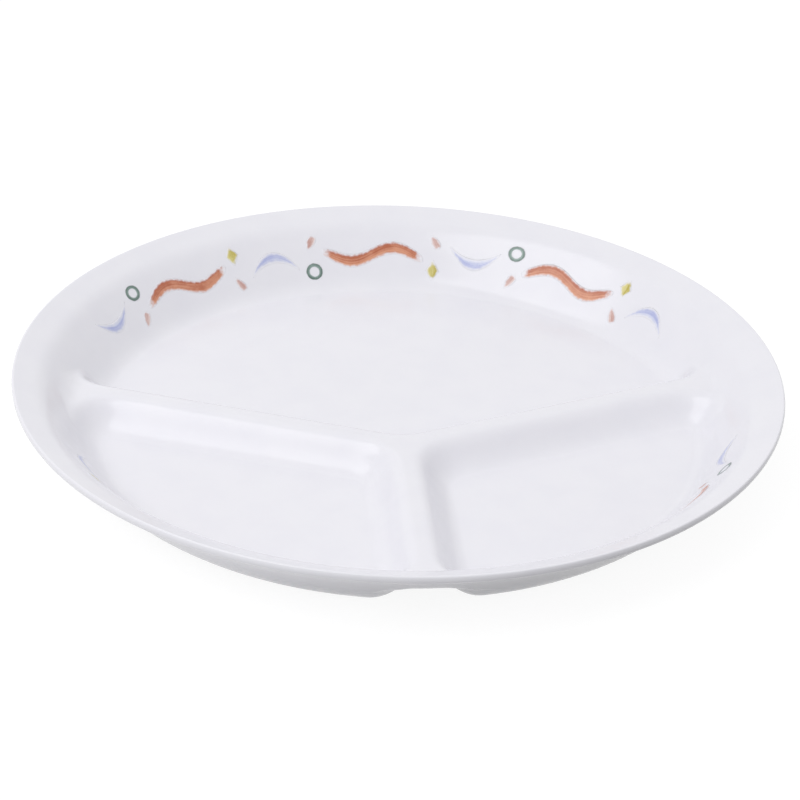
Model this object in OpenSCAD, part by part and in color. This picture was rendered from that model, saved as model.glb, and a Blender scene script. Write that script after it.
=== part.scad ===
// Round plate divided into three compartments, moulded in one shell of even thickness.
// Lengths are in millimetres and angles in degrees. The plate stands on z = 0 with its middle on the z axis,
// its wide compartment towards +Y and the divider between its two small ones towards -Y.

/* [Plate] */
// Diameter across the rim
rim_diameter = 230; // [200:5:260]
// Height of the rim's top above the table
plate_height = 22.5; // [20:0.5:26]
// Thickness of the wall, the rim and the dividers' skin
wall_thickness = 2.5; // [2.2:0.1:2.8]
// Thickness of the floor of each compartment
floor_thickness = 2.5; // [2.2:0.1:2.8]

/* [Wall and rim] */
// Width of the rim, from its outer edge to the crease at the top of the wall
rim_width = 8.5; // [7:0.5:11]
// Distance from the crease in to the foot of the wall
wall_run = 14; // [12:0.5:17]
// Slope of the lower wall and of the dividers' sides
side_slope = 52; // [48:1:56]
// Slope of the upper wall
upper_slope = 45; // [40:1:48]
// Slope of the rim
rim_slope = 22; // [16:1:28]
// Radius of the rim's edge on its upper side; the rest of the wall's thickness is the radius below it
lip_radius = 0.5; // [0.4:0.1:1.2]

/* [Dividers] */
// Height of the dividers above the floor
divider_height = 8.4; // [6:0.2:9]
// Width of a divider between the feet of its sides
divider_width = 20; // [18:0.5:26]
// Angle of the two rear dividers from the plate's width
divider_angle = 20.5; // [10:0.5:30]
// Distance from the plate's middle to the point where the dividers meet
junction_offset = 23.5; // [5:0.5:35]
// Corner radius of the compartments where two dividers meet
inner_corner = 9; // [6:0.5:14]
// Corner radius of the compartments where a divider meets the wall
wall_corner = 5; // [5:0.5:8]

/* [Roundings] */
// Height over which a side blends into the floor
floor_blend = 4; // [2:0.5:5]
// Height over which a side blends into the base, seen from below
base_blend = 7; // [3:0.5:7]
// Height over which a side blends into the top of a divider
ridge_blend = 2.6; // [1:0.2:3]
// Height over which the top of a divider blends into the wall
end_blend = 4; // [2:0.5:5]
// Height over which the upper wall blends into the rim
crease_blend = 1.2; // [0.5:0.1:2]
// Height over which the lower wall blends into the upper wall
joint_blend = 1; // [0.5:0.1:2]

/* [Print] */
// Thickness of the ink film
film = 0.15; // [0.1:0.01:0.2]
// Distance between the middles of two ribbons along the border
border_pitch = 68; // [64:1:90]
// Distance from the wall's foot up its slope to the middle of the border
border_rise = 11.5; // [10.5:0.5:12.5]
// Length of a waved ribbon
ribbon_length = 34; // [26:1:36]
// Width of a waved ribbon
ribbon_width = 4.6; // [3:0.2:6]
// Height of the wave from its middle line
ribbon_wave = 2.2; // [0.5:0.1:3]
// Length of a crescent between its tips
crescent_length = 17; // [12:0.5:18]
// Rise of a crescent's outer edge
crescent_rise = 7; // [5:0.2:8]
// Width of a crescent at its middle
crescent_width = 4; // [2:0.2:5]
// Diameter of a ring
ring_diameter = 6; // [4:0.2:7]
// Width of a ring's line
ring_line = 1.5; // [0.8:0.1:1.8]
// Length of a lozenge
lozenge_length = 7; // [4:0.2:8]
// Width of a lozenge
lozenge_width = 4.6; // [3:0.2:6]
// Length of a petal
petal_length = 5.6; // [4:0.2:7]
// Width of a petal
petal_width = 3; // [2:0.2:4]
// Width of a stroke at its blunt tips
tip_width = 0.5; // [0.3:0.05:0.8]
// Distance of the small motifs from the border's middle line
scatter = 5; // [3:0.25:5.5]

/* [Hidden] */

// How far the cut that makes the base true reaches past the shell
overrun = 0.2;

// Facets of the shell
divider_steps = 16;
corner_steps = 6;
wall_step_angle = 3.6;
skin_steps = 9;
rim_steps = 4;
lip_steps = 3;
under_steps = 4;

// Facets of the print
ribbon_steps = 20;
motif_steps = 10;
ring_steps = 20;
lozenge_steps = 2;

// Distance of the small motifs from a ribbon's middle, as a share of the pitch
small_place_share = 0.3;
// Tilt of the petals towards the ribbon that they flank
petal_tilt = 60;
// Number of waves along a ribbon
ribbon_waves = 1.25;
// Share that brings the greatest value of a petal's breadth formula to one
petal_breadth_share = 0.92;

rim_radius = rim_diameter / 2;
crease_radius = rim_radius - rim_width;
foot_radius = crease_radius - wall_run;

// The rim's edge is two arcs that meet at its nose, where the edge is square to the rim's slope
under_radius = wall_thickness - lip_radius;
nose = [rim_radius - under_radius * (1 - cos(rim_slope)), plate_height - lip_radius * (1 - sin(rim_slope))];
lip_middle = nose - lip_radius * [cos(rim_slope), sin(rim_slope)];
under_middle = nose - under_radius * [cos(rim_slope), sin(rim_slope)];
rim_inner = lip_middle + lip_radius * [-sin(rim_slope), cos(rim_slope)];
rim_outer_under = under_middle + under_radius * [sin(rim_slope), -cos(rim_slope)];
crease_height = rim_inner[1] - (rim_inner[0] - crease_radius) * tan(rim_slope);
ridge_height = floor_thickness + divider_height;
half_divider = divider_width / 2;
junction = [0, -junction_offset];
right_divider = [cos(divider_angle), sin(divider_angle)];
left_divider = [-cos(divider_angle), sin(divider_angle)];
front_divider = [0, -1];

// Each compartment lies between two dividers, named counterclockwise
compartments = [[right_divider, left_divider], [left_divider, front_divider], [front_divider, right_divider]];

// The wall's foot arc is centred on this circle, from which each compartment spreads outwards
spine_radius = foot_radius - wall_corner;

// Both skins are clear of the dividers' blends at this height, so from here up the shell is plainly round
clear_height = ridge_height + end_blend + joint_blend + crease_blend + skin_drop(side_slope) - wall_thickness;
side_reach = foot_radius + (clear_height - floor_thickness) / tan(side_slope);
upper_reach = crease_radius - (crease_height - clear_height) / tan(upper_slope);
rim_reach = rim_inner[0] - (rim_inner[1] - clear_height) / tan(rim_slope);
compartment_radius = max(side_reach, upper_reach, rim_reach);

border_radius = foot_radius + border_rise * cos(side_slope);
pitch_angle = border_pitch / border_radius * 180 / PI;
film_rise = film / cos(side_slope);

// Vertical distance between the two skins on a slope
function skin_drop(slope) = wall_thickness / cos(slope);

function unit(v) = v / norm(v);
function mix(a, b, share) = a + (b - a) * share;
function limit(value, low, high) = min(max(value, low), high);
function polar_angle(p) = atan2(p[1], p[0]);
function on_circle(radius, angle) = radius * [cos(angle), sin(angle)];
function turn(p, angle) = [p[0] * cos(angle) - p[1] * sin(angle), p[0] * sin(angle) + p[1] * cos(angle)];

// The greater of two heights, rounded where they are less than blend apart
function blend_max(a, b, blend) =
    blend > 0 ? max(a, b) + pow(max(blend - abs(a - b), 0), 2) / (4 * blend) : max(a, b);
function blend_min(a, b, blend) = -blend_max(-a, -b, blend);

// How far along direction the circle round the plate's middle is met from start
function reach(start, direction, radius) =
    let (d = start * direction) sqrt(d * d - start * start + radius * radius) - d;

// Height of the lower wall, the upper wall and the rim at a radius, without the floor
function slopes(r, under) =
    let (
        side = floor_thickness + (r - foot_radius) * tan(side_slope) - (under ? skin_drop(side_slope) : 0),
        upper = crease_height + (r - crease_radius) * tan(upper_slope) - (under ? skin_drop(upper_slope) : 0),
        rim = rim_inner[1] + (r - rim_inner[0]) * tan(rim_slope) - (under ? skin_drop(rim_slope) : 0)
    )
    blend_min(blend_min(side, upper, joint_blend), rim, crease_blend);

// Height of the floor of a skin, and of the blend that rises from it; the lower one starts below the base cut
function floor_level(under) = under ? -overrun : floor_thickness;
function foot_blend(under) = under ? base_blend : floor_blend;

// Height of a skin at a radius where no divider is near
function dish(r, under) = blend_max(slopes(r, under), floor_level(under), foot_blend(under));

// Height of a skin at a radius, at a distance outside the foot line of its compartment. A divider's side has the
// slopes of the wall, so the two meet wherever the wall changes its slope.
function skin(r, outside, under) =
    let (
        side = dish(foot_radius + outside, under),
        ridge = blend_min(side, ridge_height - (under ? wall_thickness : 0), ridge_blend),
        off_wall = limit((outside - (r - foot_radius)) / wall_corner, 0, 1),
        eased = off_wall * off_wall * (3 - 2 * off_wall)
    )
    blend_max(ridge, slopes(r, under), end_blend * eased);

// Height of a skin along the boundary of a compartment: the middle of a divider, or the plain round wall
function ridge_line(r, under) =
    blend_max(ridge_height - (under ? wall_thickness : 0), slopes(r, under), end_blend);

// A compartment's columns, counterclockwise. Each one is [point on its spine, point on its boundary, foot distance].
function columns(a, b) =
    let (
        out_a = [-a[1], a[0]],
        out_b = [b[1], -b[0]],
        middle = unit(a + b),
        half_angle = acos(middle * a),
        inner = junction + middle * (half_divider + inner_corner) / sin(half_angle),
        near = (inner - junction) * a,
        far_a = reach(junction + out_a * (half_divider + wall_corner), a, spine_radius),
        far_b = reach(junction + out_b * (half_divider + wall_corner), b, spine_radius),
        outer_a = junction + out_a * (half_divider + wall_corner) + a * far_a,
        outer_b = junction + out_b * (half_divider + wall_corner) + b * far_b,
        angle_a = polar_angle(outer_a),
        angle_b = angle_a + (polar_angle(outer_b) - angle_a + 360) % 360,
        start_a = angle_a - (angle_a - polar_angle(divider_end(a)) + 360) % 360,
        end_b = angle_b + (polar_angle(divider_end(b)) - angle_b + 720) % 360,
        wall_steps = ceil((angle_b - angle_a) / wall_step_angle)
    )
    concat(
        [for (k = [0 : divider_steps]) divider_column(a, k, inner, outer_a, near, far_a)],
        [for (k = [1 : corner_steps])
            [outer_a, on_circle(compartment_radius, mix(start_a, angle_a, k / corner_steps)), wall_corner]],
        [for (k = [1 : wall_steps])
            let (angle = mix(angle_a, angle_b, k / wall_steps))
            [on_circle(spine_radius, angle), on_circle(compartment_radius, angle), wall_corner]],
        [for (k = [1 : corner_steps - 1])
            [outer_b, on_circle(compartment_radius, mix(angle_b, end_b, k / corner_steps)), wall_corner]],
        [for (k = [divider_steps : -1 : 1]) divider_column(b, k, inner, outer_b, near, far_b)]
    );

// Where a divider's middle line meets the plain round wall
function divider_end(direction) = divider_point(direction, divider_steps);
function divider_point(direction, k) =
    junction + direction * reach(junction, direction, compartment_radius) * (1 - cos(180 * k / divider_steps)) / 2;

function divider_column(direction, k, inner, outer, near, far) =
    let (
        boundary = divider_point(direction, k),
        share = limit((norm(boundary - junction) - near) / (far - near), 0, 1)
    )
    [mix(inner, outer, share), boundary, mix(inner_corner, wall_corner, share)];

// One ring of points round a compartment, from its spine (share 0) to its boundary (share 1)
function ring(cell, share, under) =
    [for (column = cell)
        let (
            spine = column[0],
            p = share < 1 ? mix(spine, column[1], share) : column[1],
            r = norm(p)
        )
        [p[0], p[1], share < 1 ? skin(r, norm(p - spine) - column[2], under) : ridge_line(r, under)]];

function rings(cell, under) = [for (k = [0 : skin_steps]) ring(cell, k / skin_steps, under)];

// Quads between rings that follow each other, without the corners that fall together
function bands(loops) =
    [for (k = [0 : len(loops) - 2], i = [0 : len(loops[k]) - 1])
        let (j = (i + 1) % len(loops[k]))
        without_repeats([loops[k][i], loops[k][j], loops[k + 1][j], loops[k + 1][i]])];

function without_repeats(loop) =
    [for (i = [0 : len(loop) - 1]) if (norm(loop[i] - loop[(i + 1) % len(loop)]) > 0) loop[i]];

function reversed(list) = [for (i = [len(list) - 1 : -1 : 0]) list[i]];

function compartment_faces(cell) =
    let (top = rings(cell, false), bottom = rings(cell, true))
    concat(
        bands(top),
        [reversed(without_repeats(top[0]))],
        [for (face = bands(bottom)) reversed(face)],
        [without_repeats(bottom[0])]
    );

// The boundary points that lie on the plain round wall, counterclockwise all the way round
function wall_points(cells) =
    [for (cell = cells, k = [divider_steps : len(cell) - divider_steps - 1]) cell[k][1]];

function wall_ring(points, r, z) = [for (p = points) concat(p * r / compartment_radius, z)];

// The wall above the dividers, the rim and its round edge, from the top skin over to the lower one
function rim_faces(points) =
    let (
        start = compartment_radius,
        first = [for (p = points) [p[0], p[1], slopes(norm(p), false)]],
        last = [for (p = points) [p[0], p[1], slopes(norm(p), true)]],
        top = [for (k = [1 : rim_steps - 1])
            let (r = mix(start, rim_inner[0], k / rim_steps)) wall_ring(points, r, dish(r, false))],
        lip = [for (k = [0 : lip_steps - 1]) lip_middle + on_circle(lip_radius, rim_slope + 90 - 90 * k / lip_steps)],
        below = [for (k = [0 : under_steps]) under_middle + on_circle(under_radius, rim_slope - 90 * k / under_steps)],
        edge = [for (q = concat(lip, below)) wall_ring(points, q[0], q[1])],
        bottom = [for (k = [rim_steps - 1 : -1 : 1])
            let (r = mix(start, rim_outer_under[0], k / rim_steps)) wall_ring(points, r, dish(r, true))]
    )
    bands(concat([first], top, edge, bottom, [last]));

// A closed shell from a list of faces, each one a loop of points
module shell(faces) {
    polyhedron(
        points = [for (face = faces, p = face) p],
        faces = [for (i = 0, at = 0; i < len(faces); at = at + len(faces[i]), i = i + 1)
            [for (k = [0 : len(faces[i]) - 1]) at + k]]
    );
}

// The moulded body: one shell, cut true across its base so that it stands on flat faces
module plate_body() {
    cells = [for (pair = compartments) columns(pair[0], pair[1])];
    color([0.93, 0.93, 0.97])
    difference() {
        shell(concat([for (cell = cells, face = compartment_faces(cell)) face], rim_faces(wall_points(cells))));
        translate([-rim_radius, -rim_radius, -2 * overrun]) cube([rim_diameter, rim_diameter, 2 * overrun]);
    }
}

// A point of the print, from its place along the border and up the slope of the wall
function wall_point(p, angle, lift) =
    let (
        r = border_radius + p[1] * cos(side_slope),
        round_angle = angle + p[0] / border_radius * 180 / PI
    )
    concat(on_circle(r, round_angle), dish(r, false) + lift);

// A film of ink on the wall between two edges, each a list of [along the border, up the slope]
module ink(upper, lower, angle, closed = false) {
    count = len(upper);
    sections = [for (i = [0 : count - 1]) [
        wall_point(upper[i], angle, 0),
        wall_point(upper[i], angle, film_rise),
        wall_point(lower[i], angle, film_rise),
        wall_point(lower[i], angle, 0)
    ]];
    sides = [for (i = [0 : closed ? count - 1 : count - 2], k = [0 : 3])
        let (next = sections[(i + 1) % count], j = (k + 1) % 4)
        [sections[i][k], next[k], next[j], sections[i][j]]];
    shell(closed ? sides : concat(sides, [sections[0]], [reversed(sections[count - 1])]));
}

// Moves and turns an edge within the border
function placed(edge, place, tilt) = [for (p = edge) place + turn(p, tilt)];

// Shares from -1 to 1 along a stroke
function stroke_shares(steps) = [for (k = [0 : steps]) 2 * k / steps - 1];

module ribbon(angle, flip) {
    shares = stroke_shares(ribbon_steps);
    middle = [for (t = shares) [t * ribbon_length / 2, flip * ribbon_wave * sin(180 * ribbon_waves * t)]];
    breadth = [for (t = shares) (tip_width + (ribbon_width - tip_width) * sqrt(1 - pow(t, 6))) / 2];
    ink([for (i = [0 : ribbon_steps]) middle[i] + [0, breadth[i]]],
        [for (i = [0 : ribbon_steps]) middle[i] - [0, breadth[i]]], angle);
}

module crescent(angle, flip) {
    shares = stroke_shares(motif_steps);
    lift = crescent_rise / 2;
    outer = [for (t = shares) [t * crescent_length / 2, crescent_rise * (1 - t * t) - lift]];
    inner = [for (i = [0 : motif_steps])
        outer[i] - [0, tip_width + (crescent_width - tip_width) * (1 - shares[i] * shares[i])]];
    tilt = flip > 0 ? 0 : 180;
    ink(placed(outer, [0, 0], tilt), placed(inner, [0, 0], tilt), angle);
}

module circle_line(place, angle) {
    turns = [for (k = [0 : ring_steps - 1]) -360 * k / ring_steps];
    ink([for (t = turns) place + on_circle(ring_diameter / 2, t)],
        [for (t = turns) place + on_circle(ring_diameter / 2 - ring_line, t)], angle, true);
}

module lozenge(place, angle, tilt) {
    shares = stroke_shares(lozenge_steps);
    breadth = [for (t = shares) (tip_width + (lozenge_width - tip_width) * (1 - abs(t))) / 2];
    ink(placed([for (i = [0 : lozenge_steps]) [shares[i] * lozenge_length / 2, breadth[i]]], place, tilt),
        placed([for (i = [0 : lozenge_steps]) [shares[i] * lozenge_length / 2, -breadth[i]]], place, tilt), angle);
}

module petal(place, angle, tilt) {
    shares = stroke_shares(motif_steps);
    breadth = [for (t = shares)
        (tip_width + (petal_width - tip_width) * petal_breadth_share * (1 - t) * sqrt(1 + t)) / 2];
    ink(placed([for (i = [0 : motif_steps]) [shares[i] * petal_length / 2, breadth[i]]], place, tilt),
        placed([for (i = [0 : motif_steps]) [shares[i] * petal_length / 2, -breadth[i]]], place, tilt), angle);
}

// The border stops short of the dividers: each compartment's wall has one crescent more than it has ribbons.
// Each entry is [angle of the motif's middle, whether it is turned over], spread evenly about the wall's middle.
function span(pair) = (polar_angle(divider_end(pair[1])) - polar_angle(divider_end(pair[0])) + 360) % 360;
function spread(pair, count) =
    let (middle = polar_angle(divider_end(pair[0])) + span(pair) / 2)
    [for (k = [0 : 1 : count - 1]) [middle + (k - (count - 1) / 2) * pitch_angle, k % 2 == 0 ? 1 : -1]];
function ribbon_count(pair) = floor(span(pair) / pitch_angle) - 1;
ribbon_places = [for (pair = compartments, place = spread(pair, ribbon_count(pair))) place];
crescent_places = [for (pair = compartments, place = spread(pair, ribbon_count(pair) + 1)) place];
small_angle = small_place_share * pitch_angle;

module print_terracotta() {
    color([0.70, 0.36, 0.28]) for (place = ribbon_places) ribbon(place[0], place[1]);
}

module print_lilac() {
    color([0.74, 0.76, 0.88]) for (place = crescent_places) crescent(place[0], place[1]);
}

module print_green() {
    color([0.42, 0.52, 0.49])
    for (place = ribbon_places) circle_line([0, place[1] * scatter], place[0] + small_angle);
}

module print_mustard() {
    color([0.82, 0.76, 0.42])
    for (place = ribbon_places) lozenge([0, place[1] * scatter], place[0] - small_angle, 90);
}

module print_blush() {
    color([0.90, 0.72, 0.69])
    for (place = ribbon_places, side = [-1, 1])
        petal([0, -place[1] * scatter], place[0] + side * small_angle, -side * petal_tilt);
}

plate_body();
print_terracotta();
print_lilac();
print_green();
print_mustard();
print_blush();
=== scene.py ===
"""A divided melamine plate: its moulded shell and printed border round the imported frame, and a plain studio.

Laid out as an add-on and run as a script. Lengths are in metres and angles in radians. The plate stands on
z = 0 with its wide compartment towards +Y and the divider between its two small ones towards -Y.
"""
import math

import bpy
import numpy as np
from bpy.props import FloatProperty, FloatVectorProperty, IntProperty, PointerProperty
from mathutils import Matrix, Vector


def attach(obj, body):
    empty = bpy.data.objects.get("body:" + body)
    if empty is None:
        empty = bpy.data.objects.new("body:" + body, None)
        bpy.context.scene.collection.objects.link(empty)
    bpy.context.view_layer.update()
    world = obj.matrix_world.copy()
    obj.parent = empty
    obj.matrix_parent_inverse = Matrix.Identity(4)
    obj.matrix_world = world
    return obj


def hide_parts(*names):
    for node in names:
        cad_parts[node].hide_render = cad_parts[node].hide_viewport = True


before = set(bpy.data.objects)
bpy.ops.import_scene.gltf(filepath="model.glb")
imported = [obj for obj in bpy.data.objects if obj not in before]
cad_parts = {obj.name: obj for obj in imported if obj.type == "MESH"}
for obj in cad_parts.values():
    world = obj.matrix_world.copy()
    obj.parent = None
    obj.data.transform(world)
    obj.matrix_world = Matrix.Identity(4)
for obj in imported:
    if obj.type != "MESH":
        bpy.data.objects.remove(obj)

bl_info = {
    "name": "Divided Plate",
    "version": (1, 0, 0),
    "blender": (4, 5, 0),
    "location": "View3D > Sidebar > Plate",
    "description": "Moulds a round plate with three compartments, prints its border and lights it",
    "category": "Object",
}

BODY = "root"
# Points closer than this are one point
WELD = 1e-7
# Full turn
TURN = 2 * math.pi


def length(name, description, default):
    return FloatProperty(name=name, description=description, default=default, min=0, precision=5,
                         unit="LENGTH")


def angle(name, description, degrees):
    return FloatProperty(name=name, description=description, default=math.radians(degrees), unit="ROTATION")


def count(name, description, default):
    return IntProperty(name=name, description=description, default=default, min=2)


def colour(name, description, default):
    return FloatVectorProperty(name=name, description=description, default=default, min=0, max=1,
                               subtype="COLOR")


def amount(name, description, default):
    return FloatProperty(name=name, description=description, default=default, min=0)


def fraction(name, description, default):
    return FloatProperty(name=name, description=description, default=default, min=0, max=1)


class PlateSizes(bpy.types.PropertyGroup):
    """Driving sizes of the moulded shell."""

    rim_diameter: length("Rim Diameter", "Diameter across the rim", 0.230)
    height: length("Height", "Height of the rim's top above the table", 0.0225)
    wall: length("Wall", "Thickness of the wall, the rim and the dividers' skin", 0.0025)
    floor: length("Floor", "Thickness of the floor of each compartment", 0.0025)
    rim_width: length("Rim Width", "Width of the rim, from its edge to the crease", 0.0085)
    wall_run: length("Wall Run", "Distance from the crease in to the foot of the wall", 0.014)
    side_slope: angle("Side Slope", "Slope of the lower wall and of the dividers' sides", 52)
    upper_slope: angle("Upper Slope", "Slope of the upper wall", 45)
    rim_slope: angle("Rim Slope", "Slope of the rim", 22)
    lip_radius: length("Lip Radius", "Radius of the rim's edge on its upper side", 0.0005)
    divider_height: length("Divider Height", "Height of the dividers above the floor", 0.0084)
    divider_width: length("Divider Width", "Width between the feet of a divider's sides", 0.020)
    divider_angle: angle("Divider Angle", "Angle of the rear dividers from the plate's width", 20.5)
    junction_offset: length("Junction Offset", "Distance from the middle to where the dividers meet", 0.0235)
    inner_corner: length("Inner Corner", "Corner radius where two dividers meet", 0.009)
    wall_corner: length("Wall Corner", "Corner radius where a divider meets the wall", 0.005)
    floor_blend: length("Floor Blend", "Height over which a side blends into the floor", 0.004)
    base_blend: length("Base Blend", "Height over which a side blends into the base", 0.007)
    ridge_blend: length("Ridge Blend", "Height over which a side blends into a divider's top", 0.0026)
    end_blend: length("End Blend", "Height over which a divider's top blends into the wall", 0.004)
    crease_blend: length("Crease Blend", "Height over which the upper wall blends into the rim", 0.0012)
    joint_blend: length("Joint Blend", "Height over which the lower wall blends into the upper", 0.001)
    base_cut: length("Base Cut", "Depth of the cut that makes the base true", 0.0002)
    divider_steps: count("Divider Steps", "Facets along each divider", 44)
    corner_steps: count("Corner Steps", "Facets round each corner at the wall", 14)
    skin_steps: count("Skin Steps", "Facets from a compartment's floor to its boundary", 28)
    rim_steps: count("Rim Steps", "Facets across the rim", 12)
    edge_steps: count("Edge Steps", "Facets in each of the two arcs of the rim's edge", 8)
    wall_step: angle("Wall Step", "Angle between facets round the wall", 1.8)


class BorderSizes(bpy.types.PropertyGroup):
    """Driving sizes of the printed border."""

    pitch: length("Pitch", "Distance between the middles of two ribbons", 0.068)
    rise: length("Rise", "Distance up the wall to the middle of the border", 0.0115)
    scatter: length("Scatter", "Distance of the small motifs from the middle line", 0.005)
    ribbon_length: length("Ribbon Length", "Length of a waved ribbon", 0.034)
    ribbon_width: length("Ribbon Width", "Width of a waved ribbon", 0.0046)
    ribbon_wave: length("Ribbon Wave", "Height of the wave from its middle line", 0.0022)
    crescent_length: length("Crescent Length", "Length of a crescent between its tips", 0.017)
    crescent_rise: length("Crescent Rise", "Rise of a crescent's outer edge", 0.007)
    crescent_width: length("Crescent Width", "Width of a crescent at its middle", 0.004)
    ring_diameter: length("Ring Diameter", "Diameter of a ring", 0.006)
    ring_line: length("Ring Line", "Width of a ring's line", 0.0015)
    lozenge_length: length("Lozenge Length", "Length of a lozenge", 0.007)
    lozenge_width: length("Lozenge Width", "Width of a lozenge", 0.0046)
    petal_length: length("Petal Length", "Length of a petal", 0.0056)
    petal_width: length("Petal Width", "Width of a petal", 0.003)
    petal_tilt: angle("Petal Tilt", "Tilt of the petals towards the ribbon that they flank", 60)
    tip_width: length("Tip Width", "Width of a stroke at its blunt tips", 0.0005)
    lift: length("Film Lift", "Height of the ink's surface over the plate's", 0.00006)
    sink: length("Film Sink", "Depth of the ink's underside below the plate's surface", 0.00004)
    small_share: fraction("Small Share", "Share of the pitch from a ribbon to its small motifs", 0.3)
    waves: amount("Waves", "Number of waves along a ribbon", 1.25)
    petal_fullness: amount("Petal Fullness", "Scale that brings a petal's curve to its full width", 0.92)
    ribbon_steps: count("Ribbon Steps", "Facets along a ribbon", 72)
    crescent_steps: count("Crescent Steps", "Facets along a crescent", 40)
    ring_steps: count("Ring Steps", "Facets round a ring", 48)
    lozenge_steps: count("Lozenge Steps", "Facets along a lozenge", 24)
    petal_steps: count("Petal Steps", "Facets along a petal", 28)
    across_steps: count("Across Steps", "Facets across a stroke", 8)


class Finishes(bpy.types.PropertyGroup):
    """Colours of the moulding and of the inks. Each ink has a full and a thinned colour."""

    melamine: colour("Melamine", "Colour of the moulding", (0.86, 0.855, 0.905))
    melamine_deep: colour("Melamine Mottle", "Slightly deeper tone in the moulding", (0.845, 0.84, 0.895))
    roughness: fraction("Roughness", "Roughness of the glaze", 0.2)
    terracotta: colour("Terracotta", "Full terracotta ink", (0.48, 0.13, 0.06))
    terracotta_thin: colour("Thin Terracotta", "Thinned terracotta ink", (0.72, 0.33, 0.2))
    lilac: colour("Lilac", "Full lilac ink", (0.42, 0.46, 0.75))
    lilac_thin: colour("Thin Lilac", "Thinned lilac ink", (0.66, 0.69, 0.86))
    green: colour("Green", "Full grey green ink", (0.09, 0.15, 0.125))
    green_thin: colour("Thin Green", "Thinned grey green ink", (0.30, 0.40, 0.37))
    mustard: colour("Mustard", "Full mustard ink", (0.50, 0.41, 0.06))
    mustard_thin: colour("Thin Mustard", "Thinned mustard ink", (0.76, 0.69, 0.30))
    blush: colour("Blush", "Full blush ink", (0.58, 0.33, 0.29))
    blush_thin: colour("Thin Blush", "Thinned blush ink", (0.80, 0.64, 0.61))


class Studio(bpy.types.PropertyGroup):
    """Camera, lamps and floor."""

    azimuth: angle("Azimuth", "Turn of the camera round the plate", -6)
    elevation: angle("Elevation", "Angle of the camera above the table", 28.43)
    roll: angle("Roll", "Tilt of the camera about its own axis", 2.25)
    distance: length("Distance", "Distance from the camera to the rim's middle", 0.8)
    focal_length: FloatProperty(name="Focal Length", description="Lens in millimetres", default=120.3, min=1)
    shift: FloatVectorProperty(name="Shift", description="Lens shift as shares of the frame", size=2,
                               default=(0.00075, -0.0405))
    sky: amount("Sky", "Strength of the light from straight above", 0.78)
    horizon: amount("Horizon", "Strength of the light from low down", 0.5)
    key_place: FloatVectorProperty(name="Key Place", description="Middle of the softbox on the left", size=3,
                                   default=(-0.79, -0.3, 1.18), subtype="TRANSLATION", unit="LENGTH")
    key_power: amount("Key Power", "Power of the softbox on the left in watts", 6.5)
    key_width: length("Key Width", "Width of the softbox on the left", 1.2)
    key_depth: length("Key Depth", "Depth of the softbox on the left", 0.9)
    floor_size: length("Floor Size", "Width of the floor", 6.0)
    floor_shade: colour("Floor", "Colour of the floor on the left, as it lights the plate", (0.8, 0.8, 0.8))
    # The floor's colour for bounced light is darker on the right: painted shade that darkens the plate's
    # underside on the right.
    floor_painted_shade: colour("Floor Painted Shade", "Colour of the floor on the right, as it lights the plate",
                       (0.24, 0.24, 0.24))
    painted_shade_reach: length("Painted Shade Reach", "Half the width over which the floor darkens to the right", 0.11)
    floor_seen: colour("Seen Floor", "Part of the floor's white that a shadow darkens", (0.17, 0.17, 0.17))
    floor_glow: fraction("Floor Glow", "Part of the floor's white that no shadow darkens", 0.9)


def sizes():
    return bpy.context.scene.plate_sizes


def border():
    return bpy.context.scene.plate_border


def finishes():
    return bpy.context.scene.plate_finishes


def studio():
    return bpy.context.scene.plate_studio


# The section of the plate

def blend_max(a, b, blend):
    """The greater of two heights, rounded where they are less than blend apart."""
    blend = np.maximum(blend, 1e-9)
    return np.maximum(a, b) + np.maximum(blend - np.abs(a - b), 0) ** 2 / (4 * blend)


def blend_min(a, b, blend):
    return -blend_max(-a, -b, blend)


def mix(a, b, share):
    return a + (b - a) * share


def on_circle(radius, turn):
    return radius * np.array([math.cos(turn), math.sin(turn)])


def polar_angle(p):
    return math.atan2(p[1], p[0])


def reach(start, direction, radius):
    """How far along direction the circle round the plate's middle is met from start."""
    d = start @ direction
    return math.sqrt(d * d - start @ start + radius * radius) - d


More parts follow.
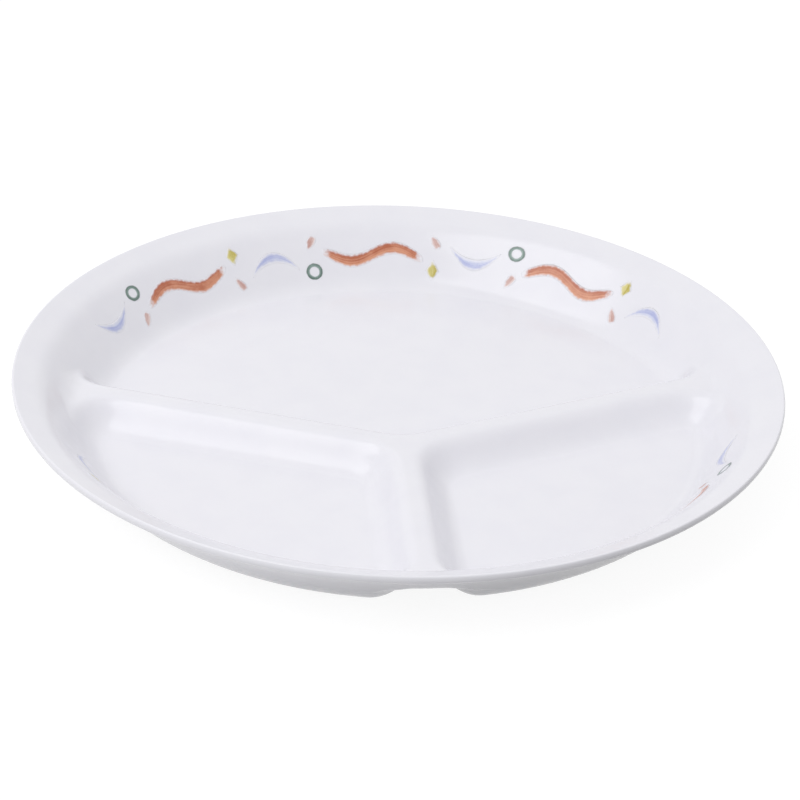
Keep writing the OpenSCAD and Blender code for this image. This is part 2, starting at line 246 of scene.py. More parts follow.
class Section:
    """Heights of the plate's upper and lower skins, worked out from the driving sizes."""

    def __init__(self, s):
        self.s = s
        self.crease_radius = s.rim_diameter / 2 - s.rim_width
        self.foot_radius = self.crease_radius - s.wall_run
        self.under_radius = s.wall - s.lip_radius
        along = on_circle(1, s.rim_slope)
        nose = np.array([s.rim_diameter / 2 - self.under_radius * (1 - along[0]),
                         s.height - s.lip_radius * (1 - along[1])])
        self.lip_middle = nose - s.lip_radius * along
        self.under_middle = nose - self.under_radius * along
        outward = on_circle(1, s.rim_slope + math.pi / 2)
        self.rim_inner = self.lip_middle + s.lip_radius * outward
        self.rim_under = self.under_middle - self.under_radius * outward
        rim_run = self.rim_inner[0] - self.crease_radius
        self.crease_height = self.rim_inner[1] - rim_run * math.tan(s.rim_slope)
        self.ridge_height = s.floor + s.divider_height
        self.spine_radius = self.foot_radius - s.wall_corner
        self.junction = np.array([0, -s.junction_offset])
        self.half_divider = s.divider_width / 2
        blends = s.end_blend + s.joint_blend + s.crease_blend
        clear = self.ridge_height + blends + self.drop(s.side_slope) - s.wall
        self.compartment_radius = max(
            self.foot_radius + (clear - s.floor) / math.tan(s.side_slope),
            self.crease_radius - (self.crease_height - clear) / math.tan(s.upper_slope),
            self.rim_inner[0] - (self.rim_inner[1] - clear) / math.tan(s.rim_slope))

    def drop(self, slope):
        """Vertical distance between the two skins on a slope."""
        return self.s.wall / math.cos(slope)

    def level(self, under):
        """Height of a skin's floor; the lower one starts below the base cut."""
        return -self.s.base_cut if under else self.s.floor

    def foot_blend(self, under):
        return self.s.base_blend if under else self.s.floor_blend

    def slopes(self, r, under=False):
        """Height of the lower wall, the upper wall and the rim at a radius, without the floor."""
        s = self.s

        def line(radius, height, slope):
            return height + (r - radius) * math.tan(slope) - under * self.drop(slope)

        side = line(self.foot_radius, s.floor, s.side_slope)
        upper = line(self.crease_radius, self.crease_height, s.upper_slope)
        rim = line(self.rim_inner[0], self.rim_inner[1], s.rim_slope)
        return blend_min(blend_min(side, upper, s.joint_blend), rim, s.crease_blend)

    def dish(self, r, under=False):
        """Height of a skin at a radius where no divider is near."""
        return blend_max(self.slopes(r, under), self.level(under), self.foot_blend(under))

    def skin(self, r, outside, under):
        """Height of a skin at a radius, at a distance outside the foot line of its compartment."""
        s = self.s
        side = self.dish(self.foot_radius + outside, under)
        ridge = blend_min(side, self.ridge_height - under * s.wall, s.ridge_blend)
        off_wall = np.clip((outside - (r - self.foot_radius)) / s.wall_corner, 0, 1)
        eased = off_wall * off_wall * (3 - 2 * off_wall)
        return blend_max(ridge, self.slopes(r, under), s.end_blend * eased)

    def ridge_line(self, r, under):
        """Height of a skin along a compartment's boundary: a divider's middle, or the plain round wall."""
        return blend_max(self.ridge_height - under * self.s.wall, self.slopes(r, under), self.s.end_blend)

    def compartments(self):
        """The two dividers that each compartment lies between, counterclockwise, the wide one first."""
        turn = self.s.divider_angle
        right, left, front = on_circle(1, turn), on_circle(1, math.pi - turn), np.array([0, -1.0])
        return (right, left), (left, front), (front, right)

    def divider_end(self, direction):
        """Where a divider's middle line meets the plain round wall."""
        return self.junction + direction * reach(self.junction, direction, self.compartment_radius)


# The moulded shell

def divider_columns(section, direction, inner, outer, near, far):
    """Columns that end on a divider's middle line, from the junction out to the wall."""
    s = section.s
    end = section.divider_end(direction)
    for k in range(s.divider_steps + 1):
        boundary = mix(section.junction, end, (1 - math.cos(math.pi * k / s.divider_steps)) / 2)
        share = np.clip((np.linalg.norm(boundary - section.junction) - near) / (far - near), 0, 1)
        yield mix(inner, outer, share), boundary, mix(s.inner_corner, s.wall_corner, share)


def wall_columns(section, start, end, steps, spine=None):
    """Columns that end on the plain round wall, from after start up to end."""
    for k in range(1, steps + 1):
        turn = mix(start, end, k / steps)
        from_point = on_circle(section.spine_radius, turn) if spine is None else spine
        yield from_point, on_circle(section.compartment_radius, turn), section.s.wall_corner


def compartment_columns(section, a, b):
    """Each column is a point on the compartment's spine, one on its boundary, and its foot's distance."""
    s, junction = section.s, section.junction
    out_a, out_b = np.array([-a[1], a[0]]), np.array([b[1], -b[0]])
    middle = (a + b) / np.linalg.norm(a + b)
    inner = junction + middle * (section.half_divider + s.inner_corner) / math.sin(math.acos(middle @ a))
    near = (inner - junction) @ a
    width = section.half_divider + s.wall_corner
    far_a = reach(junction + out_a * width, a, section.spine_radius)
    far_b = reach(junction + out_b * width, b, section.spine_radius)
    outer_a, outer_b = junction + out_a * width + a * far_a, junction + out_b * width + b * far_b
    turn_a = polar_angle(outer_a)
    turn_b = turn_a + (polar_angle(outer_b) - turn_a) % TURN
    start_a = turn_a - (turn_a - polar_angle(section.divider_end(a))) % TURN
    end_b = turn_b + (polar_angle(section.divider_end(b)) - turn_b) % TURN
    steps = math.ceil((turn_b - turn_a) / s.wall_step)
    columns = list(divider_columns(section, a, inner, outer_a, near, far_a))
    columns += wall_columns(section, start_a, turn_a, s.corner_steps, outer_a)
    columns += wall_columns(section, turn_a, turn_b, steps)
    columns += list(wall_columns(section, turn_b, end_b, s.corner_steps, outer_b))[:-1]
    columns += list(divider_columns(section, b, inner, outer_b, near, far_b))[:0:-1]
    return [np.array(part) for part in zip(*columns)]


def skin_rings(section, columns, under):
    """Rings of points from a compartment's spine out to its boundary, at the height of one skin."""
    spine, boundary, foot = columns
    rings = []
    for k in range(section.s.skin_steps):
        p = mix(spine, boundary, k / section.s.skin_steps)
        r = np.linalg.norm(p, axis=1)
        outside = np.linalg.norm(p - spine, axis=1) - foot
        rings.append(np.c_[p, section.skin(r, outside, under)])
    r = np.linalg.norm(boundary, axis=1)
    return rings + [np.c_[boundary, section.ridge_line(r, under)]]


def rim_rings(section, round_points):
    """Rings over the rim: out along the top skin, round the edge and back along the lower skin."""
    s = section.s
    start = section.compartment_radius
    unit = round_points / start

    def ring(r, z):
        return np.c_[unit * r, np.full(len(unit), z)]

    def skin(end, steps, under):
        for k in steps:
            r = mix(start, end, k / s.rim_steps)
            yield ring(r, float(section.dish(r, under)))

    rings = list(skin(section.rim_inner[0], range(s.rim_steps), False))
    for k in range(s.edge_steps):
        turn = s.rim_slope + math.pi / 2 * (1 - k / s.edge_steps)
        rings.append(ring(*(section.lip_middle + on_circle(s.lip_radius, turn))))
    for k in range(s.edge_steps + 1):
        turn = s.rim_slope - math.pi / 2 * k / s.edge_steps
        rings.append(ring(*(section.under_middle + on_circle(section.under_radius, turn))))
    return rings + list(skin(section.rim_under[0], range(s.rim_steps - 1, -1, -1), True))


class Skin:
    """Collects faces by the place of their corners, and welds the corners that fall together."""

    def __init__(self):
        self.points, self.faces, self.found = [], [], {}

    def corner(self, p):
        place = (round(p[0] / WELD), round(p[1] / WELD), round(p[2] / WELD))
        if place not in self.found:
            self.found[place] = len(self.points)
            self.points.append(tuple(float(v) for v in p))
        return self.found[place]

    def face(self, loop, reverse=False):
        corners = list(dict.fromkeys(self.corner(p) for p in loop))
        if len(corners) > 2:
            self.faces.append(corners[::-1] if reverse else corners)

    def bands(self, rings, reverse=False):
        """Quads between closed rings that follow each other."""
        for low, high in zip(rings[:-1], rings[1:]):
            for i in range(len(low)):
                j = (i + 1) % len(low)
                self.face((low[i], low[j], high[j], high[i]), reverse)


def shell_skin(section):
    """The whole moulding as one closed skin, cut true across its base."""
    skin, core_rings = Skin(), 4
    round_points = []
    for a, b in section.compartments():
        columns = compartment_columns(section, a, b)
        for under in (False, True):
            rings = skin_rings(section, columns, under)
            if under:
                for ring in rings:
                    ring[:, 2] = np.maximum(ring[:, 2], 0)
            skin.bands(rings, not under)
            middle = rings[0].mean(axis=0)
            inner = [mix(middle, rings[0], k / core_rings) for k in range(1, core_rings)] + [rings[0]]
            skin.bands(inner, not under)
            skin.face(inner[0], under)
        on_wall = np.abs(np.linalg.norm(columns[1], axis=1) - section.compartment_radius) < WELD
        round_points += list(columns[1][on_wall])
    round_points.sort(key=polar_angle)
    keep = [p for p, after in zip(round_points, round_points[1:] + round_points[:1])
            if np.linalg.norm(p - after) > WELD]
    skin.bands(rim_rings(section, np.array(keep)), True)
    return skin


# The printed border

def border_radius(section):
    return section.foot_radius + border().rise * math.cos(section.s.side_slope)


def wall_points(section, p, middle, lift):
    """Places points given along the border and up the slope of the wall."""
    r = border_radius(section) + p[..., 1] * math.cos(section.s.side_slope)
    turn = middle + p[..., 0] / border_radius(section)
    return np.stack([r * np.cos(turn), r * np.sin(turn), section.dish(r) + lift], axis=-1)


def spread(section, pair, number):
    """Angles of motifs set out evenly about the middle of a compartment's wall, and which way up they are."""
    start, end = (polar_angle(section.divider_end(direction)) for direction in pair)
    middle = start + (end - start) % TURN / 2
    pitch = border().pitch / border_radius(section)
    return [(middle + (k - (number - 1) / 2) * pitch, 1 if k % 2 == 0 else -1) for k in range(number)]


def ribbon_places(section, extra=0):
    """Places of the ribbons in every compartment; with one extra, the places between and beyond them."""
    places = []
    pitch = border().pitch / border_radius(section)
    for pair in section.compartments():
        start, end = (polar_angle(section.divider_end(direction)) for direction in pair)
        number = math.floor((end - start) % TURN / pitch) - 1 + extra
        places += spread(section, pair, number)
    return places


def small_turn(section):
    """Angle from a ribbon's middle to the small motifs beside it."""
    return border().small_share * border().pitch / border_radius(section)


def turned(edge, tilt):
    c, s = math.cos(tilt), math.sin(tilt)
    return edge @ np.array([[c, s], [-s, c]])


def stroke(middle_line, breadth):
    """The upper and lower edges of a stroke of this breadth about a middle line."""
    offset = np.c_[np.zeros(len(breadth)), breadth / 2]
    return middle_line + offset, middle_line - offset


def shares(steps):
    return np.linspace(-1, 1, steps + 1)


def ribbon_edges(flip):
    b = border()
    t = shares(b.ribbon_steps)
    breadth = b.tip_width + (b.ribbon_width - b.tip_width) * np.sqrt(1 - t ** 6)
    wave = flip * b.ribbon_wave * np.sin(math.pi * b.waves * t)
    return stroke(np.c_[t * b.ribbon_length / 2, wave], breadth)


def crescent_edges(flip):
    b = border()
    t = shares(b.crescent_steps)
    outer = np.c_[t * b.crescent_length / 2, b.crescent_rise * (1 - t * t) - b.crescent_rise / 2]
    inner = outer - np.c_[0 * t, b.tip_width + (b.crescent_width - b.tip_width) * (1 - t * t)]
    tilt = 0 if flip > 0 else math.pi
    return turned(outer, tilt), turned(inner, tilt)


def ring_edges():
    b = border()
    turns = -TURN * np.arange(b.ring_steps) / b.ring_steps
    unit = np.c_[np.cos(turns), np.sin(turns)]
    return unit * b.ring_diameter / 2, unit * (b.ring_diameter / 2 - b.ring_line)


def lozenge_edges():
    b = border()
    t = shares(b.lozenge_steps)
    breadth = b.tip_width + (b.lozenge_width - b.tip_width) * (1 - np.abs(t))
    return stroke(np.c_[t * b.lozenge_length / 2, 0 * t], breadth)


def petal_edges():
    b = border()
    t = shares(b.petal_steps)
    breadth = b.tip_width + (b.petal_width - b.tip_width) * b.petal_fullness * (1 - t) * np.sqrt(1 + t)
    return stroke(np.c_[t * b.petal_length / 2, 0 * t], breadth)


class Film:
    """A film of ink: closed patches on the wall, and where each of their points lies in its stroke."""

    def __init__(self, section):
        self.section = section
        self.points, self.faces, self.core, self.across = [], [], [], []

    def add(self, edges, middle, offset=(0, 0), tilt=0.0, closed=False, dry=0.5):
        """One patch between two edges, turned by tilt, moved by offset and placed round the wall at middle.

        The ink runs dry towards an open stroke's ends, over this many times its breadth.
        """
        b = border()
        upper, lower = (turned(edge, tilt) + np.array(offset) for edge in edges)
        across = np.linspace(0, 1, b.across_steps + 1)
        grid = upper[:, None, :] + (lower - upper)[:, None, :] * across[None, :, None]
        stations, columns = grid.shape[:2]
        start = len(self.points)
        for lift in (b.lift, -b.sink):
            placed = wall_points(self.section, grid, middle, lift)
            self.points += [tuple(p) for p in placed.reshape(-1, 3).tolist()]
        from_sides = 1 - np.abs(2 * across - 1)
        breadth = np.linalg.norm(upper - lower, axis=1)
        steps_along = np.linalg.norm(np.diff(grid[:, columns // 2], axis=0), axis=1)
        run = np.r_[0, np.cumsum(steps_along)]
        from_ends = np.ones(stations) if closed else np.minimum(run, run[-1] - run) / (breadth.max() * dry)
        core = np.minimum(from_sides[None, :], from_ends[:, None])
        core = np.clip(core * (breadth / breadth.max())[:, None], 0, 1)
        for _ in range(2):
            self.core += core.ravel().tolist()
            self.across += np.tile(across, stations).tolist()
        self.stitch(start, stations, columns, closed)

    def stitch(self, start, stations, columns, closed):
        """Faces over the top, under the bottom and round the sides of one patch."""
        size = stations * columns

        def at(i, j, under):
            return start + under * size + (i % stations) * columns + j

        for i in range(stations if closed else stations - 1):
            for j in range(columns - 1):
                self.faces.append((at(i, j, 0), at(i + 1, j, 0), at(i + 1, j + 1, 0), at(i, j + 1, 0)))
                self.faces.append((at(i, j, 1), at(i, j + 1, 1), at(i + 1, j + 1, 1), at(i + 1, j, 1)))
            self.faces.append((at(i, 0, 0), at(i, 0, 1), at(i + 1, 0, 1), at(i + 1, 0, 0)))
            last = columns - 1
            self.faces.append((at(i, last, 0), at(i + 1, last, 0), at(i + 1, last, 1), at(i, last, 1)))
        if not closed:
            for j in range(columns - 1):
                self.faces.append((at(0, j, 0), at(0, j + 1, 0), at(0, j + 1, 1), at(0, j, 1)))
                end = stations - 1
                self.faces.append((at(end, j, 0), at(end, j, 1), at(end, j + 1, 1), at(end, j + 1, 0)))


# Shader nodes

def add_node(tree, kind, inputs=None, **settings):
    """A node with its settings, and its inputs set to values or linked to other nodes' outputs."""
    node = tree.nodes.new(kind)
    for name, value in settings.items():
        setattr(node, name, value)
    for name, value in (inputs or {}).items():
        if isinstance(value, bpy.types.NodeSocket):
            tree.links.new(value, node.inputs[name])
        else:
            node.inputs[name].default_value = value
    return node


def math_node(tree, operation, a, b, clamp=False):
    return add_node(tree, "ShaderNodeMath", {0: a, 1: b}, operation=operation, use_clamp=clamp).outputs[0]


def noise(tree, place, scale, detail=2.0):
    inputs = {"Vector": place, "Scale": scale, "Detail": detail}
    return add_node(tree, "ShaderNodeTexNoise", inputs).outputs["Fac"]


def ramp(tree, value, low, high, to_low=0.0, to_high=1.0):
    """Value from low to high, eased onto to_low to to_high."""
    inputs = {"Value": value, "From Min": low, "From Max": high, "To Min": to_low, "To Max": to_high}
    return add_node(tree, "ShaderNodeMapRange", inputs, interpolation_type="SMOOTHSTEP").outputs["Result"]


def mix_colours(tree, share, a, b):
    node = add_node(tree, "ShaderNodeMix", data_type="RGBA")
    factor, first, last = node.inputs[0], node.inputs[6], node.inputs[7]
    for socket, value in ((factor, share), (first, a), (last, b)):
        if isinstance(value, bpy.types.NodeSocket):
            tree.links.new(value, socket)
        else:
            socket.default_value = value
    return node.outputs[2]


def new_group(name, inputs, outputs):
    """A node group with named sockets, and its own input and output nodes."""
    tree = bpy.data.node_groups.new(name, "ShaderNodeTree")
    for label, kind in inputs:
        tree.interface.new_socket(label, in_out="INPUT", socket_type=kind)
    for label, kind in outputs:
        tree.interface.new_socket(label, in_out="OUTPUT", socket_type=kind)
    return tree, tree.nodes.new("NodeGroupInput"), tree.nodes.new("NodeGroupOutput")


def glaze_group():
    """Slow waves and fine dimples of a moulded, polished face, and the small changes in its gloss."""
    name = "Glaze"
    if name in bpy.data.node_groups:
        return bpy.data.node_groups[name]
    tree, given, made = new_group(
        name,
        [("Place", "NodeSocketVector"), ("Roughness", "NodeSocketFloat")],
        [("Roughness", "NodeSocketFloat"), ("Height", "NodeSocketFloat")])
    place = given.outputs["Place"]
    slow = noise(tree, place, scale=55.0)
    fine = noise(tree, place, scale=900.0, detail=3.0)
    worn = noise(tree, place, scale=140.0, detail=4.0)
    spread_of_gloss = ramp(tree, worn, low=0.3, high=0.75, to_low=-0.035, to_high=0.05)
    rough = math_node(tree, "ADD", given.outputs["Roughness"], spread_of_gloss, clamp=True)
    height = math_node(tree, "ADD", slow, math_node(tree, "MULTIPLY", fine, 0.02))
    tree.links.new(rough, made.inputs["Roughness"])
    tree.links.new(height, made.inputs["Height"])
    return tree


def watercolour_group():
    """Brushed ink: fuller along one side of a stroke, streaked along it, patchy, and soft at its edge."""
    name = "Watercolour"
    if name in bpy.data.node_groups:
        return bpy.data.node_groups[name]
    tree, given, made = new_group(
        name,
        [("Place", "NodeSocketVector"), ("Core", "NodeSocketFloat"), ("Across", "NodeSocketFloat"),
         ("Full", "NodeSocketColor"), ("Thin", "NodeSocketColor"), ("Ground", "NodeSocketColor"),
         ("Softness", "NodeSocketFloat")],
        [("Color", "NodeSocketColor")])
    place = given.outputs["Place"]
    across = given.outputs["Across"]
    streak_scale, streaks_across, one_side, fray = 70.0, 5.0, 0.4, 0.55
    inputs = {0: place, 1: (streak_scale,) * 3, 2: math_node(tree, "MULTIPLY", across, streaks_across)}
    along_stroke = add_node(tree, "ShaderNodeVectorMath", inputs, operation="MULTIPLY_ADD").outputs[0]
    streaks = noise(tree, along_stroke, scale=1.0, detail=4.0)
    patches = noise(tree, place, scale=260.0, detail=3.0)
    grain = noise(tree, place, scale=2600.0)
    uneven = math_node(tree, "MULTIPLY", across, one_side)
    for pattern, share in ((streaks, 0.6), (patches, 0.4), (grain, 0.15)):
        uneven = math_node(tree, "ADD", uneven, math_node(tree, "MULTIPLY", pattern, share))
    thin = ramp(tree, uneven, low=0.6, high=0.98)
    ink = mix_colours(tree, thin, given.outputs["Full"], given.outputs["Thin"])
    ragged = math_node(tree, "SUBTRACT", noise(tree, place, scale=700.0, detail=3.0), 0.5)
    frayed = math_node(tree, "ADD", given.outputs["Core"], math_node(tree, "MULTIPLY", ragged, fray))
    inputs = {"Value": frayed, "From Min": 0.0, "From Max": given.outputs["Softness"]}
    cover = add_node(tree, "ShaderNodeMapRange", inputs, interpolation_type="SMOOTHSTEP").outputs["Result"]
    colour_out = mix_colours(tree, cover, given.outputs["Ground"], ink)
    tree.links.new(colour_out, made.inputs["Color"])
    return tree


def start_material(name):
    """A new material with its shader and the object's own coordinates."""
    material = bpy.data.materials.new(name)
    material.use_nodes = True
    tree = material.node_tree
    place = tree.nodes.new("ShaderNodeTexCoord").outputs["Object"]
    return material, tree, tree.nodes["Principled BSDF"], place


def add_glaze(tree, shader, place):
    """Gloss and relief of the polished moulding, shared by the body and the inks under its glaze."""
    group = add_node(tree, "ShaderNodeGroup", node_tree=glaze_group())
    group.inputs["Roughness"].default_value = finishes().roughness
    tree.links.new(place, group.inputs["Place"])
    inputs = {"Height": group.outputs["Height"], "Strength": 0.25, "Distance": 0.0002}
    bump = add_node(tree, "ShaderNodeBump", inputs)
    tree.links.new(group.outputs["Roughness"], shader.inputs["Roughness"])
    tree.links.new(bump.outputs["Normal"], shader.inputs["Normal"])
    shader.inputs["IOR"].default_value = 1.5


def opaque(colour_value):
    return (*colour_value, 1)


def melamine_material():
    """White melamine resin: faintly mottled, glossy, with the slow waves of a moulding."""
    material, tree, shader, place = start_material("melamine")
    tone = ramp(tree, noise(tree, place, scale=90.0, detail=4.0), low=0.35, high=0.7)
    colour_out = mix_colours(tree, tone, opaque(finishes().melamine), opaque(finishes().melamine_deep))
    tree.links.new(colour_out, shader.inputs["Base Color"])
    add_glaze(tree, shader, place)
    return material


def ink_material(name, full, thin, softness):
    """Printed watercolour ink that fades into the melamine at its edges."""
    material, tree, shader, place = start_material(name)
    core = add_node(tree, "ShaderNodeAttribute", attribute_name="core").outputs["Fac"]
    across = add_node(tree, "ShaderNodeAttribute", attribute_name="across").outputs["Fac"]
    group = add_node(tree, "ShaderNodeGroup", node_tree=watercolour_group())
    group.inputs["Full"].default_value = opaque(full)
    group.inputs["Thin"].default_value = opaque(thin)
    group.inputs["Ground"].default_value = opaque(finishes().melamine)
    group.inputs["Softness"].default_value = softness
    for value, socket in ((place, "Place"), (core, "Core"), (across, "Across")):
        tree.links.new(value, group.inputs[socket])
    tree.links.new(group.outputs["Color"], shader.inputs["Base Color"])
    add_glaze(tree, shader, place)
    return material


# Pieces

def add_piece(name, points, faces, material, node):
    """A smooth mesh that rides on the plate's body and stands for a node of the frame."""
    mesh = bpy.data.meshes.new(name)
    mesh.from_pydata(points, [], faces)
    mesh.validate()
    mesh.polygons.foreach_set("use_smooth", [True] * len(mesh.polygons))
    mesh.materials.append(material)
    piece = bpy.data.objects.new(name, mesh)
    bpy.context.scene.collection.objects.link(piece)
    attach(piece, BODY)
    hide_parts(node)
    return piece


def add_film(name, film, material, node):
    """A piece of printed ink, with each point's place in its stroke stored for the material."""
    if not film.points:
        raise RuntimeError(f"{name} has no motifs")
    piece = add_piece(name, film.points, film.faces, material, node)
    for label, values in (("core", film.core), ("across", film.across)):
        piece.data.attributes.new(label, "FLOAT", "POINT").data.foreach_set("value", values)
    return piece


class PlateOperator(bpy.types.Operator):
    """Shared by the operators that make the plate's pieces."""

    bl_options = {"REGISTER", "UNDO"}

    def execute(self, context):
        self.make(Section(sizes()))
        return {"FINISHED"}


class PLATE_OT_mould_body(PlateOperator):
    """Mould the shell of the plate with its three compartments, dividers and rim"""

    bl_idname = "plate.mould_body"
    bl_label = "Mould Body"

    def make(self, section):
        skin = shell_skin(section)
        add_piece("moulded_body", skin.points, skin.faces, melamine_material(), "plate_body")


class PLATE_OT_print_ribbons(PlateOperator):
    """Print the waved terracotta ribbons"""

    bl_idname = "plate.print_ribbons"
    bl_label = "Print Ribbons"

    def make(self, section):
        film = Film(section)
        for middle, flip in ribbon_places(section):
            film.add(ribbon_edges(flip), middle, dry=1.3)
        ink = ink_material("terracotta_ink", finishes().terracotta, finishes().terracotta_thin, 0.5)
        add_film("printed_ribbons", film, ink, "print_terracotta")


class PLATE_OT_print_crescents(PlateOperator):
    """Print the lilac crescents between and beyond the ribbons"""

    bl_idname = "plate.print_crescents"
    bl_label = "Print Crescents"

    def make(self, section):
        film = Film(section)
        for middle, flip in ribbon_places(section, extra=1):
            film.add(crescent_edges(flip), middle)
        ink = ink_material("lilac_ink", finishes().lilac, finishes().lilac_thin, 0.8)
        add_film("printed_crescents", film, ink, "print_lilac")


class PLATE_OT_print_rings(PlateOperator):
    """Print a grey green ring beside each ribbon"""

    bl_idname = "plate.print_rings"
    bl_label = "Print Rings"

    def make(self, section):
        film = Film(section)
        for middle, flip in ribbon_places(section):
            film.add(ring_edges(), middle + small_turn(section), (0, flip * border().scatter), closed=True)
        ink = ink_material("green_ink", finishes().green, finishes().green_thin, 0.5)
        add_film("printed_rings", film, ink, "print_green")


class PLATE_OT_print_lozenges(PlateOperator):
    """Print a mustard lozenge on the other side of each ribbon"""

    bl_idname = "plate.print_lozenges"
    bl_label = "Print Lozenges"

    def make(self, section):
        film = Film(section)
        for middle, flip in ribbon_places(section):
            place = (0, flip * border().scatter)
            film.add(lozenge_edges(), middle - small_turn(section), place, math.pi / 2)
        ink = ink_material("mustard_ink", finishes().mustard, finishes().mustard_thin, 0.45)
        add_film("printed_lozenges", film, ink, "print_mustard")


class PLATE_OT_print_petals(PlateOperator):
    """Print the blush petals that flank each ribbon"""

    bl_idname = "plate.print_petals"
    bl_label = "Print Petals"

    def make(self, section):
        film = Film(section)
        for middle, flip in ribbon_places(section):
            for side in (-1, 1):
                place = (0, -flip * border().scatter)
                beside = middle + side * small_turn(section)
                film.add(petal_edges(), beside, place, -side * border().petal_tilt)
        ink = ink_material("blush_ink", finishes().blush, finishes().blush_thin, 0.6)
        add_film("printed_petals", film, ink, "print_blush")


# The studio

def white_where_seen(tree, seen):
    """The second shader where the camera, a reflection or a refraction looks, and the first elsewhere."""
    path = tree.nodes.new("ShaderNodeLightPath")
    straight = math_node(tree, "MAXIMUM", path.outputs["Is Camera Ray"], path.outputs["Is Glossy Ray"])
    share = math_node(tree, "MAXIMUM", straight, path.outputs["Is Transmission Ray"])
    return add_node(tree, "ShaderNodeMixShader", {0: share, 1: seen[0], 2: seen[1]}).outputs[0]


def light_from_all_round():
    world = bpy.data.worlds.new("studio")
    bpy.context.scene.world = world
    world.use_nodes = True
    tree = world.node_tree
    sky = tree.nodes["Background"]
    sky.inputs["Color"].default_value = (1, 1, 1, 1)
    direction = tree.nodes.new("ShaderNodeTexCoord").outputs["Generated"]
    rise = add_node(tree, "ShaderNodeSeparateXYZ", {"Vector": direction}).outputs["Z"]
    up = ramp(tree, rise, low=0.0, high=0.7, to_low=studio().horizon, to_high=studio().sky)
    tree.links.new(up, sky.inputs["Strength"])
    white = add_node(tree, "ShaderNodeBackground", {"Color": (1, 1, 1, 1), "Strength": 1.0})
    light = white_where_seen(tree, (sky.outputs[0], white.outputs[0]))
    tree.links.new(light, tree.nodes["World Output"].inputs["Surface"])


def add_floor():
    """A floor that lights the plate from below, and looks white but for the plate's soft shadow."""
    half = studio().floor_size / 2
    mesh = bpy.data.meshes.new("floor")
    corners = [(-half, -half, 0), (half, -half, 0), (half, half, 0), (-half, half, 0)]
    mesh.from_pydata(corners, [], [(0, 1, 2, 3)])
    floor = bpy.data.objects.new("floor", mesh)
    bpy.context.scene.collection.objects.link(floor)
    material = bpy.data.materials.new("floor")
    material.use_nodes = True
    tree = material.node_tree
    shader = tree.nodes["Principled BSDF"]
    place = tree.nodes.new("ShaderNodeTexCoord").outputs["Object"]
    # The floor's colour for bounced light darkens to the right: painted shade, hidden from the camera, that
    # darkens the plate's underside on the right.
    across = add_node(tree, "ShaderNodeSeparateXYZ", {"Vector": place}).outputs["X"]
    share = ramp(tree, across, low=-studio().painted_shade_reach, high=studio().painted_shade_reach)
    shade = mix_colours(tree, share, opaque(studio().floor_shade), opaque(studio().floor_painted_shade))
    tree.links.new(shade, shader.inputs["Base Color"])
    shader.inputs["Roughness"].default_value = 0.9
    shader.inputs["Specular IOR Level"].default_value = 0.0
    shaded = add_node(tree, "ShaderNodeBsdfDiffuse", {"Color": opaque(studio().floor_seen)})
    glow = add_node(tree, "ShaderNodeEmission", {"Color": (1, 1, 1, 1), "Strength": studio().floor_glow})
    seen = add_node(tree, "ShaderNodeAddShader", {0: shaded.outputs[0], 1: glow.outputs[0]})
    light = white_where_seen(tree, (shader.outputs[0], seen.outputs[0]))
    tree.links.new(light, tree.nodes["Material Output"].inputs["Surface"])
    mesh.materials.append(material)


def add_key_lamp():
    """A wide softbox high on the left, aimed at the middle of the plate."""
    place = Vector(studio().key_place)
    data = bpy.data.lights.new("key", "AREA")
    data.shape = "RECTANGLE"
    data.size = studio().key_width
    data.size_y = studio().key_depth
    data.energy = studio().key_power
    lamp = bpy.data.objects.new("key", data)
    lamp.location = place
    lamp.rotation_euler = (-place).to_track_quat("-Z", "Y").to_euler()
    bpy.context.scene.collection.objects.link(lamp)


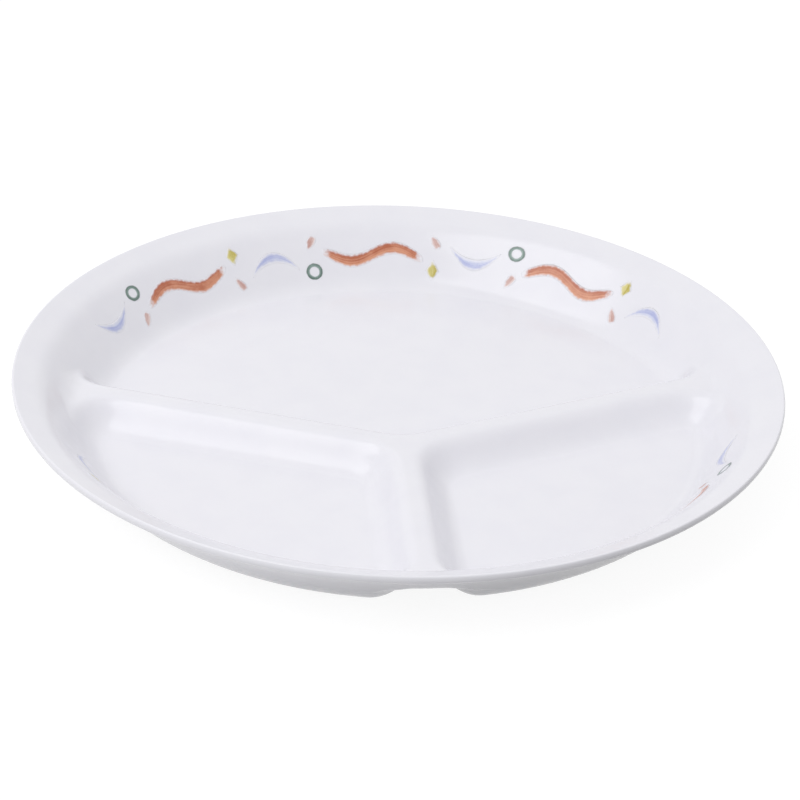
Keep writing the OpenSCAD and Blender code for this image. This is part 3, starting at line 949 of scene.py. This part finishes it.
def add_camera():
    """The photograph's view: turned, raised and rolled about the middle of the rim."""
    s = studio()
    back = Vector((math.sin(s.azimuth) * math.cos(s.elevation), -math.cos(s.azimuth) * math.cos(s.elevation),
                   math.sin(s.elevation)))
    right = Vector((0, 0, 1)).cross(back).normalized()
    up = back.cross(right)
    rolled_right = right * math.cos(s.roll) + up * math.sin(s.roll)
    rolled_up = up * math.cos(s.roll) - right * math.sin(s.roll)
    data = bpy.data.cameras.new("camera")
    camera = bpy.data.objects.new("camera", data)
    axes = Matrix((rolled_right, rolled_up, back)).transposed().to_4x4()
    camera.matrix_world = Matrix.Translation(Vector((0, 0, sizes().height)) + back * s.distance) @ axes
    data.lens = s.focal_length
    data.shift_x, data.shift_y = s.shift
    bpy.context.scene.collection.objects.link(camera)
    bpy.context.scene.camera = camera


class PLATE_OT_set_stage(bpy.types.Operator):
    """Set out the floor, the light and the camera"""

    bl_idname = "plate.set_stage"
    bl_label = "Set Stage"
    bl_options = {"REGISTER", "UNDO"}

    def execute(self, context):
        add_floor()
        light_from_all_round()
        add_key_lamp()
        add_camera()
        context.scene.view_settings.view_transform = "Standard"
        return {"FINISHED"}


PIECE_OPERATORS = (
    PLATE_OT_mould_body,
    PLATE_OT_print_ribbons,
    PLATE_OT_print_crescents,
    PLATE_OT_print_rings,
    PLATE_OT_print_lozenges,
    PLATE_OT_print_petals,
)


class PLATE_PT_panel(bpy.types.Panel):
    """Lists the plate's settings and its operators in the sidebar."""

    bl_label = "Divided Plate"
    bl_idname = "PLATE_PT_panel"
    bl_space_type = "VIEW_3D"
    bl_region_type = "UI"
    bl_category = "Plate"

    def draw(self, context):
        scene = context.scene
        for group in (scene.plate_sizes, scene.plate_border, scene.plate_finishes, scene.plate_studio):
            box = self.layout.box()
            for name in group.__annotations__:
                box.prop(group, name)
        for operator in (*PIECE_OPERATORS, PLATE_OT_set_stage):
            self.layout.operator(operator.bl_idname)


GROUPS = {
    "plate_sizes": PlateSizes,
    "plate_border": BorderSizes,
    "plate_finishes": Finishes,
    "plate_studio": Studio,
}
CLASSES = (*GROUPS.values(), *PIECE_OPERATORS, PLATE_OT_set_stage, PLATE_PT_panel)


def register():
    for cls in CLASSES:
        bpy.utils.register_class(cls)
    for name, group in GROUPS.items():
        setattr(bpy.types.Scene, name, PointerProperty(type=group))


def unregister():
    for name in GROUPS:
        delattr(bpy.types.Scene, name)
    for cls in reversed(CLASSES):
        bpy.utils.unregister_class(cls)


def main():
    """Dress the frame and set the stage."""
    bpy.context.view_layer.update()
    register()
    for operator in PIECE_OPERATORS:
        category, name = operator.bl_idname.split(".")
        getattr(getattr(bpy.ops, category), name)()
    bpy.ops.plate.set_stage()


if __name__ == "__main__":
    main()
